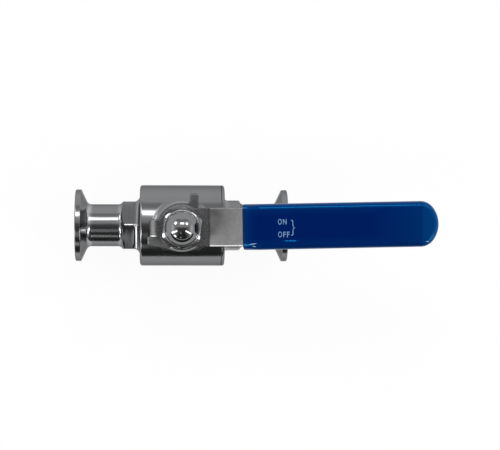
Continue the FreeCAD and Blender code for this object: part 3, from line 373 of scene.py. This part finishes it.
ptfe = soft_finish(
    "ptfe", first=(0.78, 0.78, 0.76), second=(0.86, 0.86, 0.84), roughness=(0.35, 0.5),
    cloud=0.004, grain=0.0004, grain_depth=0.00002,
)
for ring in ("body_seal", "seat_inlet", "seat_outlet"):
    paint(ring, ptfe)


# Ball: turned from stainless bar and lapped to a mirror, since it seals on its own skin. The stem's
# tang turns it by the slot in its top.

mirror_polish = dict(
    dark=(0.215, 0.218, 0.222), light=(0.235, 0.238, 0.242), edge=(0.36, 0.365, 0.37),
    roughness=(0.03, 0.06), cloud=0.008, ripple=0.006, ripple_depth=0.000004,
    grain=0.0004, grain_depth=0.0000005,
)
bright_steel = steel("bright_steel", **mirror_polish)
paint("ball", bright_steel)


# Stem: turned from stainless bar and milled flat on two sides, left as it comes off the machine.
# Its collar holds it in the body from inside.

machined_steel = steel(
    "machined_steel", dark=(0.30, 0.305, 0.31), light=(0.38, 0.385, 0.39), edge=(0.48, 0.485, 0.49),
    roughness=(0.18, 0.32), cloud=0.005, ripple=0.004, ripple_depth=0.000006,
    grain=0.0003, grain_depth=0.000004,
)
paint("stem", machined_steel)


# O-ring: moulded black rubber, slightly matt, stretched over the stem into its groove, where it
# is the first seal.

seal_rubber = soft_finish(
    "seal_rubber", first=(0.012, 0.012, 0.013), second=(0.022, 0.022, 0.024),
    roughness=(0.45, 0.6), cloud=0.002, grain=0.0002, grain_depth=0.00001,
)
paint("stem_o_ring", seal_rubber)


# Thrust washer and chevron packing: more rings turned from PTFE, stacked round the stem below and
# inside the boss.

for ring in ("thrust_washer", "packing_bottom", "packing_middle", "packing_top"):
    paint(ring, ptfe)


# Gland ring, disc springs and gland nut: the steel pieces that load the packing. The springs are
# stamped from darker spring steel, and the nut holds them down on the ring.

paint("gland_ring", machined_steel)
spring_steel = steel(
    "spring_steel", dark=(0.16, 0.162, 0.168), light=(0.22, 0.222, 0.23), edge=(0.34, 0.342, 0.35),
    roughness=(0.25, 0.4), cloud=0.004, ripple=0.003, ripple_depth=0.000006,
    grain=0.0003, grain_depth=0.000004,
)
for spring in ("disc_spring_lower", "disc_spring_upper"):
    paint(spring, spring_steel)
paint("gland_nut", machined_steel)


# Handle lever: pressed from stainless strip. The strip keeps its pickled, finely pitted skin, with
# painted highlights along its long near edges and painted shade in its crease. It stands slightly
# turned in the play of its hole on the stem.

lever_turn = math.radians(1.25)
lever_slant = math.tan(lever_turn)
pad_colours = ((0.045, 0.045, 0.046), (0.19, 0.19, 0.195))
painted_crease_shade = ((0.03, 0.03, 0.03), (0.06, 0.06, 0.06))
lighter_slope_colours = ((0.34, 0.34, 0.34), (0.46, 0.46, 0.46))
painted_edge_highlight = ((0.75, 0.75, 0.75), (0.9, 0.9, 0.9))


def pad_and_slope(tree, place, grain_pattern, tone, polish):
    """The pad round the nut is darkest and coarsest, the crease beyond it is painted shade with a
    lighter strip beside it, and the near edges of the slope and the stop tab are painted highlights."""
    x, y, _ = along_axes(tree, place)
    pit_size = 0.0005
    pad = plateau(tree, x, (-0.0122, -0.0112), (0.0122, 0.0128))
    pits = spread(tree, clouds(tree, place, pit_size, smooth), 0.32, 0.68)
    tone = laid_on(tree, tone, pad, pits, pad_colours)
    # Painted shade along the crease, broken in places.
    crease_breaks = spread(tree, clouds(tree, place, 0.0020, smooth), 0.30, 0.55, 0.15, 0.7)
    crease_shade_line = product(tree, band(tree, x, 0.0124, 0.0005), crease_breaks)
    tone = laid_on(tree, tone, crease_shade_line, grain_pattern, painted_crease_shade)
    # Lighter just past the crease, fading along the slope and toward the far edge.
    past_crease = spread(tree, x, 0.0126, 0.0134)
    beside_crease = product(tree, past_crease, spread(tree, x, 0.0130, 0.0195, 0.48, 0),
                            spread(tree, y, 0.0065, 0.0040))
    tone = laid_on(tree, tone, beside_crease, grain_pattern, lighter_slope_colours)
    from_middle = worked(tree, "MULTIPLY_ADD", x, -lever_slant, y)
    # Painted highlights along the near edges of the slope and the tab.
    slope_edge = product(tree, spread(tree, from_middle, -0.0081, -0.0085), past_crease)
    tab_edge = product(tree, spread(tree, y, -0.0034, -0.0038), spread(tree, x, -0.0112, -0.0120))
    highlit_edges = worked(tree, "MAXIMUM", slope_edge, tab_edge)
    tone = laid_on(tree, tone, highlit_edges, grain_pattern, painted_edge_highlight)
    return tone, worked(tree, "MAXIMUM", polish, product(tree, pad, 0.55)), None


lever_steel = steel(
    "lever_steel", dark=(0.16, 0.16, 0.16), light=(0.25, 0.25, 0.25), edge=(0.34, 0.34, 0.34),
    roughness=(0.34, 0.50), cloud=0.0016, ripple=0.003, ripple_depth=0.00002,
    grain=0.0008, grain_depth=0.00004, local=pad_and_slope,
)
paint("handle_lever", lever_steel)


# Handle sleeve: vinyl dipped and cured, then pulled warm over the lever. It is glossy dark blue,
# a little puckered at its mouth, lighter along its edges and toward its tip, and carries painted
# glints at the near corners of its mouth and tip.

vinyl_blue = ((0.0001, 0.0065, 0.084), (0.0002, 0.0090, 0.101))
lighter_blue = ((0.0001, 0.026, 0.125), (0.0001, 0.032, 0.150))
painted_glint_blue = ((0.25, 0.48, 0.80), (0.35, 0.58, 0.90))
blue_vinyl, tree, shader = new_finish("blue_vinyl")
place = place_on_piece(tree)
x, y, _ = along_axes(tree, place)
from_middle = worked(tree, "MULTIPLY_ADD", x, -lever_slant, y)
along_lever = worked(tree, "MULTIPLY_ADD", y, lever_slant, x)

# The vinyl is lighter along its sides, round its edges and, more and more, toward its tip.
drift = clouds(tree, place, 0.02)
sides = spread(tree, worked(tree, "ABSOLUTE", from_middle), 0.0050, 0.0105, 0, 0.55)
tip = spread(tree, x, 0.085, 0.117)
tip = product(tree, tip, worked(tree, "MULTIPLY_ADD", tip, 0.5, 0.5))
lighter_edges_and_tip = product(tree, rubbed_edges(tree, 0.002), 0.7)
for part in (sides, tip):
    lighter_edges_and_tip = worked(tree, "MAXIMUM", lighter_edges_and_tip, part)
tone = two_tones(tree, drift, *vinyl_blue)
tone = laid_on(tree, tone, lighter_edges_and_tip, drift, lighter_blue)


def glint_line(tree, along, aside, start, end):
    """1 on a short line between two places in the plan of the lever, fading out beside it."""
    width = 0.0003
    rise = (end[1] - start[1]) / (end[0] - start[0])
    off_line = worked(tree, "MULTIPLY_ADD", along, -rise, aside)
    on_line = band(tree, off_line, start[1] - rise * start[0], width)
    return product(tree, on_line, band(tree, along, (start[0] + end[0]) / 2, (end[0] - start[0]) / 2))


# Painted glints: two short pale lines at the near corner of the mouth, and one at the near corner
# of the tip.
painted_glints = glint_line(tree, x, from_middle, (0.0290, -0.0081), (0.0347, -0.0072))
for start, end in (
    ((0.0312, -0.0085), (0.0338, -0.0089)),
    ((0.1100, -0.0079), (0.1128, -0.0083)),
):
    painted_glints = worked(tree, "MAXIMUM", painted_glints, glint_line(tree, x, from_middle, start, end))
tone = laid_on(tree, tone, spread(tree, painted_glints, 0.2, 0.6), drift, painted_glint_blue)
tree.links.new(tone, shader.inputs["Base Color"])
shader.inputs["Specular IOR Level"].default_value = 0.8
shader.inputs["Specular Tint"].default_value = (0.01, 0.42, 1.0, 1)

# It is glossy all over, and only the tip is dulled by the hand.
skin = clouds(tree, place, 0.0009)
gloss = spread(tree, skin, *cloud_range, 0.09, 0.13)
dull_tip = spread(tree, x, 0.1070, 0.1095, 0, 0.35)
tree.links.new(worked(tree, "MAXIMUM", gloss, dull_tip), shader.inputs["Roughness"])


def stretched(tree, place, along):
    """The place with its first axis divided by a stretch, which draws a pattern out along it."""
    mapping = tree.nodes.new("ShaderNodeMapping")
    mapping.inputs["Scale"].default_value = (1 / along, 1, 1)
    tree.links.new(place, mapping.inputs["Vector"])
    return mapping.outputs["Vector"]


def climbed(tree, value, low, high):
    """How far an even slope has climbed that sets in softly between two places."""
    share = spread(tree, value, low, high)
    setting_in = product(tree, share, share, (high - low) / 2)
    past = worked(tree, "MAXIMUM", worked(tree, "SUBTRACT", value, high), 0)
    return worked(tree, "ADD", setting_in, past)


# The lever's bend shows through softly, over a longer stretch than the bend itself.
bend = (0.0323, 0.0346)
soft_bend = (0.0286, 0.0383)
slope_beyond_bend = 0.466
slack_over_bend = worked(tree, "SUBTRACT", climbed(tree, along_lever, *bend),
                         climbed(tree, along_lever, *soft_bend))
relief = bumps(tree, slack_over_bend, slope_beyond_bend)

# The skin lies slack along the lever, puckers at the mouth and rises to a short ridge beside the
# print.
slack = clouds(tree, stretched(tree, place, 3), 0.006, smooth)
relief = bumps(tree, slack, 0.00006, relief)
at_mouth = product(tree, spread(tree, x, 0.040, 0.030), spread(tree, from_middle, -0.004, -0.008))
puckers = product(tree, clouds(tree, stretched(tree, place, 4), 0.0016, smooth), at_mouth)
ridge_middle = (0.0491, -0.0067)
off_middle = worked(tree, "ABSOLUTE", worked(tree, "SUBTRACT", x, ridge_middle[0]))
ridge = product(tree, band(tree, from_middle, ridge_middle[1], 0.0005),
                spread(tree, off_middle, 0.0022, 0.0045, 0.55, 0))
relief = bumps(tree, worked(tree, "ADD", puckers, ridge), 0.0003, relief)
tree.links.new(bumps(tree, skin, 0.000002, relief), shader.inputs["Normal"])
paint("handle_sleeve", blue_vinyl)


# Print on the sleeve: the words for the two ends of the lever's travel and the brace that joins
# them, stamped in pale ink that lies a hair above the vinyl.

ink_thickness = 0.00004
sleeve_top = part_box("handle_sleeve")[1][2]
ink, tree, shader = new_finish("pale_ink")
wear = clouds(tree, place_on_piece(tree), 0.0006)
worn_ink = two_tones(tree, wear, (0.10, 0.24, 0.42), (0.19, 0.36, 0.56))
tree.links.new(worn_ink, shader.inputs["Base Color"])
tree.links.new(spread(tree, wear, *cloud_range, 0.4, 0.55), shader.inputs["Roughness"])
tree.links.new(bumps(tree, wear, 0.000004), shader.inputs["Normal"])


def stamp(name, letters, low_corner, high_corner, swelling):
    """Prints letters on the sleeve so that they fill the plan between two corners."""
    bpy.ops.object.select_all(action="DESELECT")
    bpy.ops.object.text_add(location=(0, 0, 0))
    text = bpy.context.object.data
    text.body = letters
    text.extrude = ink_thickness / 2
    text.offset = swelling
    bpy.ops.object.convert(target="MESH")
    piece = bpy.context.object
    piece.name = name
    mesh = piece.data
    across = [vertex.co.x for vertex in mesh.vertices]
    upward = [vertex.co.y for vertex in mesh.vertices]
    wide = (high_corner[0] - low_corner[0]) / (max(across) - min(across))
    tall = (high_corner[1] - low_corner[1]) / (max(upward) - min(upward))
    piece.scale = (wide, tall, 1)
    piece.rotation_euler = (0, 0, lever_turn)
    corner = Vector((low_corner[0] - min(across) * wide, low_corner[1] - min(upward) * tall, 0))
    corner.rotate(piece.rotation_euler)
    piece.location = corner + Vector((0, 0, sleeve_top))
    bpy.ops.object.transform_apply(location=True, rotation=True, scale=True)
    mesh.materials.clear()
    mesh.materials.append(ink)
    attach(piece, "lever_group")


bold = 0.006
slim = -0.016
for name, letters, low_corner, high_corner, swelling in (
    ("print_on_o", "O", (0.0433, 0.0010), (0.0450, 0.0035), bold),
    ("print_on_n", "N", (0.0456, 0.0010), (0.0472, 0.0035), bold),
    ("print_off_o", "O", (0.0433, -0.0048), (0.0450, -0.0022), bold),
    ("print_off_f", "F", (0.0456, -0.0048), (0.0468, -0.0023), bold),
    ("print_off_f_last", "F", (0.0473, -0.0048), (0.0485, -0.0023), bold),
    ("print_brace", "}", (0.0492, -0.0041), (0.0509, 0.0030), slim),
):
    stamp(name, letters, low_corner, high_corner, swelling)


# Lock washer: a split ring of spring steel, dark and finely ground, that sits on the lever and
# keeps the dome nut from backing off.

paint("lock_washer", spring_steel)


# Dome nut: turned, milled and tumbled to a mirror, the brightest piece on top of the valve. The
# tumbling rounds its corners and leaves the chamfer inside them dull. The dome flattens a little
# toward its foot.

def tumbled_nut(tree, place, grain_pattern, tone, polish):
    """Rounds the corners of the hexagon, dulls the chamfer and flattens the foot of the dome."""
    x, y, z = along_axes(tree, place)
    from_stem = worked(tree, "SQRT", sum_of_squares(tree, x, y))
    chamfer = product(tree, spread(tree, from_stem, 0.0079, 0.0080), spread(tree, z, 0.0420, 0.0422))
    dull = product(tree, chamfer, spread(tree, from_stem, 0.00825, 0.00845, 0.45, 0))
    dome_shoulder = 0.04968
    dome_foot = 0.04405
    flatness = 33
    down_dome = spread(tree, z, dome_shoulder, dome_foot, 0, dome_shoulder - dome_foot)
    flattened = bumps(tree, product(tree, down_dome, down_dome), flatness)
    corner_middle = 0.0087
    corner_roundness = -145
    off_corner = worked(tree, "SUBTRACT", from_stem, corner_middle)
    rounded = bumps(tree, product(tree, off_corner, off_corner, chamfer), corner_roundness, flattened)
    return tone, worked(tree, "MAXIMUM", polish, dull), rounded


dome_steel = steel("dome_steel", local=tumbled_nut, **mirror_polish)
paint("acorn_nut", dome_steel)


# Table and backdrop: a white sheet that the valve stands on, and a low white wall far round it.
# They show plain white to the camera and in the valve's mirrors, and the sheet keeps the valve's
# soft shadow.

table_side = 20
wall_radius = 8
wall_height = 1.3
gap_under_valve = 0.0001
table_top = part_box("body")[0][2] - gap_under_valve
bpy.ops.mesh.primitive_plane_add(size=table_side, location=(0, 0, table_top))
table = bpy.context.object
table.name = "table"
bpy.ops.mesh.primitive_cylinder_add(vertices=64, radius=wall_radius, depth=wall_height,
                                    end_fill_type="NOTHING",
                                    location=(0, 0, table_top + wall_height / 2))
wall = bpy.context.object
wall.name = "wall"
table_white, tree, shader = new_finish("table_white")
shader.inputs["Base Color"].default_value = (0.9, 0.9, 0.9, 1)
shader.inputs["Roughness"].default_value = 0.8
shader.inputs["Specular IOR Level"].default_value = 0.2
plain_white = tree.nodes.new("ShaderNodeEmission")
plain_white.inputs["Strength"].default_value = 1
rays = tree.nodes.new("ShaderNodeLightPath")
seen = rays.outputs["Is Camera Ray"]
for mirrored in ("Is Glossy Ray", "Is Transmission Ray"):
    seen = worked(tree, "MAXIMUM", seen, rays.outputs[mirrored])
share_of_white = 0.93
mixed = tree.nodes.new("ShaderNodeMixShader")
tree.links.new(product(tree, seen, share_of_white), mixed.inputs["Fac"])
tree.links.new(shader.outputs["BSDF"], mixed.inputs[1])
tree.links.new(plain_white.outputs["Emission"], mixed.inputs[2])
tree.links.new(mixed.outputs["Shader"], tree.nodes["Material Output"].inputs["Surface"])
for sheet in (table, wall):
    sheet.data.materials.append(table_white)


# Studio: a grey room, palest to the left and right and darkest in front, with softboxes behind the
# valve and at its near corners, two small cards and a black flag.

def grey_steps(tree, value, stops):
    """A grey that runs through the given places and levels."""
    ramp = tree.nodes.new("ShaderNodeValToRGB")
    elements = ramp.color_ramp.elements
    while len(elements) < len(stops):
        elements.new(0.5)
    for element, (place, level) in zip(elements, stops):
        element.position = place
        element.color = (level, level, level, 1)
    tree.links.new(value, ramp.inputs["Fac"])
    return ramp.outputs["Color"]


room = bpy.data.worlds.new("room")
bpy.context.scene.world = room
room.use_nodes = True
tree = room.node_tree
direction = tree.nodes.new("ShaderNodeTexCoord").outputs["Generated"]
sideways, backward, _ = along_axes(tree, direction)
aside = worked(tree, "ABSOLUTE", sideways)
side_grey = grey_steps(tree, aside, [
    (0.0, 0.11), (0.27, 0.08), (0.41, 0.11), (0.53, 0.18), (0.64, 0.25), (0.74, 0.38), (0.83, 0.55),
    (0.90, 0.80), (0.95, 1.0), (1.0, 0.8),
])
back_grey = grey_steps(tree, backward, [
    (0.0, 0.10), (0.07, 0.10), (0.14, 0.23), (0.20, 0.42), (0.28, 0.48), (0.45, 0.53), (0.70, 0.52),
    (0.84, 0.34), (0.925, 0.36), (0.945, 0.64),
])
front_wedge = worked(tree, "MULTIPLY_ADD", aside, 1.25, backward)
front = product(tree, side_grey, spread(tree, front_wedge, -0.30, -0.05, 0.4, 1))
back = worked(tree, "MAXIMUM", side_grey, back_grey)
is_behind = worked(tree, "GREATER_THAN", backward, 0)
room_grey = blended(tree, "FLOAT", is_behind, front, back)
tree.links.new(room_grey, tree.nodes["Background"].inputs["Color"])
tree.nodes["Background"].inputs["Strength"].default_value = 1.5


def panel(name, place, turn, wide, tall, radiance):
    """A rectangular lamp that the camera doesn't see."""
    watts_per_area = 4
    data = bpy.data.lights.new(name, "AREA")
    data.shape = "RECTANGLE"
    data.size = wide
    data.size_y = tall
    data.energy = watts_per_area * wide * tall * radiance
    lamp = bpy.data.objects.new(name, data)
    lamp.location = place
    lamp.rotation_euler = turn
    lamp.visible_camera = False
    bpy.context.collection.objects.link(lamp)


def softbox(name, azimuth, tilt, wide, tall, radiance):
    """A panel aimed at the valve, placed by its azimuth from +X and its tilt from straight up."""
    distance = 1.3
    turn = math.radians(azimuth)
    lean = math.radians(tilt)
    toward_lamp = Vector((
        math.sin(lean) * math.cos(turn),
        math.sin(lean) * math.sin(turn),
        math.cos(lean),
    ))
    aim = toward_lamp.to_track_quat("Z", "Y").to_euler()
    panel(name, toward_lamp * distance, aim, wide, tall, radiance)


for name, azimuth, tilt, wide, tall, radiance in (
    ("bar_behind", 90, 37.5, 0.60, 0.30, 4.4),
    ("box_behind_left", 139, 62, 0.36, 0.40, 5),
    ("box_behind_right", 47, 49, 0.34, 0.34, 5),
    ("strip_near_left", 203, 60, 0.24, 1.1, 4.2),
    ("strip_near_right", 330, 52, 0.18, 1.2, 6),
    ("spot_near_left", 227, 74, 0.30, 0.26, 5),
):
    softbox(name, azimuth, tilt, wide, tall, radiance)


def near_card(name, low_tilt, high_tilt, radiance):
    """A small card in front of the inlet neck, between two tilts from straight up."""
    distance = 0.5
    wide = 0.062
    beside_neck = -0.064
    middle = math.radians((low_tilt + high_tilt) / 2)
    tall = distance * math.radians(high_tilt - low_tilt)
    place = (beside_neck, -distance * math.sin(middle), distance * math.cos(middle))
    panel(name, place, (middle, 0, 0), wide, tall, radiance)


near_card("card_steep", 19, 36, 0.44)
near_card("card_low", 54, 66, 0.65)

# The flag stands on the near edge of the table and ends the white there.
flag_wide = 1.2
flag_tall = 0.10
upright = math.radians(90)
bpy.ops.mesh.primitive_plane_add(size=1, location=(0, -0.26, 0.02), rotation=(upright, 0, 0))
flag = bpy.context.object
flag.name = "black_flag"
flag.scale = (flag_wide, flag_tall, 1)
bpy.ops.object.transform_apply(location=True, rotation=True, scale=True)
black_cloth, tree, shader = new_finish("black_cloth")
shader.inputs["Base Color"].default_value = (0.03, 0.03, 0.03, 1)
shader.inputs["Roughness"].default_value = 0.9
flag.data.materials.append(black_cloth)
flag.visible_camera = False


# Camera: almost straight above the valve, a little behind it and tipped toward it, with a long
# lens, so that high and low pieces show at nearly the same size.

camera_data = bpy.data.cameras.new("camera")
camera_data.sensor_width = 36
camera_data.lens = 129.6
camera = bpy.data.objects.new("camera", camera_data)
camera.location = (-0.0065, 0.0272, 0.8567)
camera.rotation_euler = (-0.03155, -0.04560, 0.00404)
bpy.context.collection.objects.link(camera)
bpy.context.scene.camera = camera
bpy.context.scene.view_settings.view_transform = "Standard"
